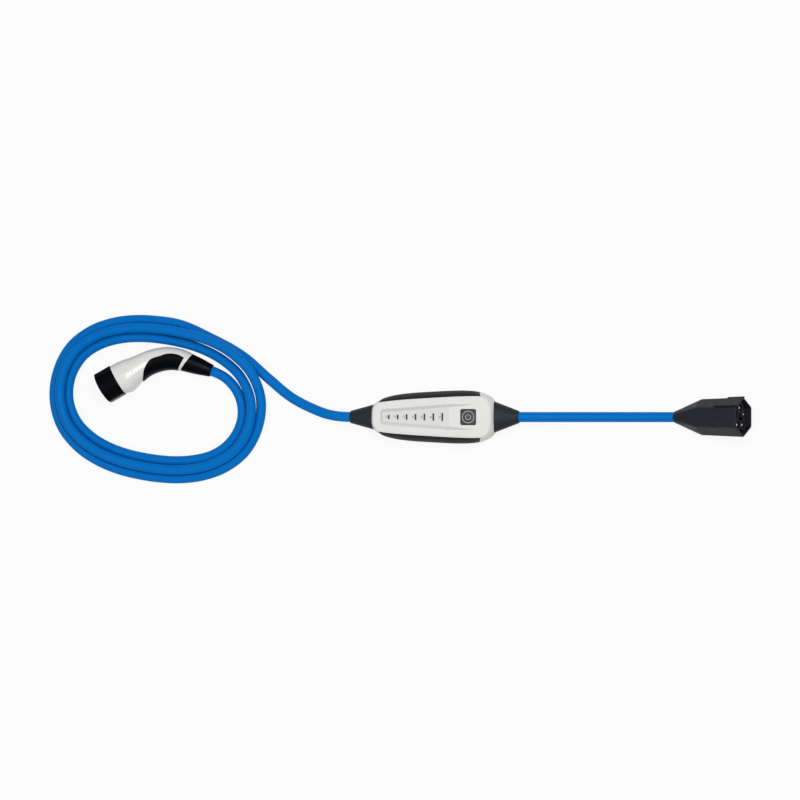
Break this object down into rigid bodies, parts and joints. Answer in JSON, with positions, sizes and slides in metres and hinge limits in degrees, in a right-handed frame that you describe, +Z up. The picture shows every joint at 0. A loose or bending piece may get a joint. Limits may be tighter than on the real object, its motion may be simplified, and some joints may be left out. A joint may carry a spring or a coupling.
{
  "type": "portable ev charger",
  "caption": "Portable electric vehicle charger: white control box with side grips, push button and light bars, coiled blue cable, angled vehicle connector and hexagonal supply plug.",
  "frame": {"origin": "on the floor under the middle of the control box", "axes": "+X along the control box towards the supply plug, +Y across it towards the rear grip, +Z up through its panel"},
  "size_m": [1.1866, 0.2802, 0.0766],
  "materials": {
    "housing_white": "satin",
    "panel_grey": "satin",
    "grip_rubber": "fine grain",
    "seal_rubber": "smooth",
    "boot_rubber": "smooth",
    "guide_smoke": "polished",
    "led_white": "clear",
    "button_grey": "satin",
    "component_black": "moulded",
    "board_green": "lacquered",
    "steel": "zinc plated",
    "copper": "bare copper",
    "contact_silver": "silver plated",
    "pin_nickel": "nickel plated",
    "lead_brown": "satin",
    "connector_white": "gloss",
    "connector_black": "gloss",
    "plug_black": "fine grain",
    "carrier_grey": "satin",
    "cable_blue": "smooth"
  },
  "bodies": {
    "charger": {"base_shell": "housing_white", "top_cover": "housing_white", "indicator_panel": "panel_grey", "rear_grip": "grip_rubber", "front_grip": "grip_rubber", "housing_seal": "seal_rubber", "vehicle_boot": "boot_rubber", "supply_boot": "boot_rubber", "connector_boot": "boot_rubber", "light_guides": "guide_smoke", "indicator_leds": "led_white", "button_switch": "component_black", "relays": "component_black", "capacitors": "component_black", "supply_module": "component_black", "current_sensor": "component_black", "display_board": "board_green", "main_board": "board_green", "terminal_blocks": "board_green", "display_screws": "steel", "board_screws": "steel", "cable_clamps": "steel", "housing_screws": "steel", "connector_clamp": "steel", "plug_clamp": "steel", "plug_screws": "steel", "load_conductors": "copper", "power_contacts": "contact_silver", "signal_contacts": "contact_silver", "plug_pins": "pin_nickel", "vehicle_leads": "lead_brown", "supply_leads": "lead_brown", "connector_leads": "lead_brown", "plug_leads": "lead_brown", "connector_upper_shell": "connector_white", "connector_lower_shell": "connector_white", "nose_sleeve": "connector_black", "contact_carrier": "connector_black", "grip_pad": "connector_black", "plug_housing": "plug_black", "plug_key": "plug_black", "pin_carrier": "carrier_grey", "vehicle_cable": "cable_blue", "supply_cable": "cable_blue"},
    "button": {"push_button": "button_grey"}
  },
  "joints": [
    {"name": "button_press", "type": "slide", "parent": "charger", "child": "button", "axis": [0, 0, -1], "range_m": [0, 0.0008], "stiffness_N_per_m": 800}
  ]
}
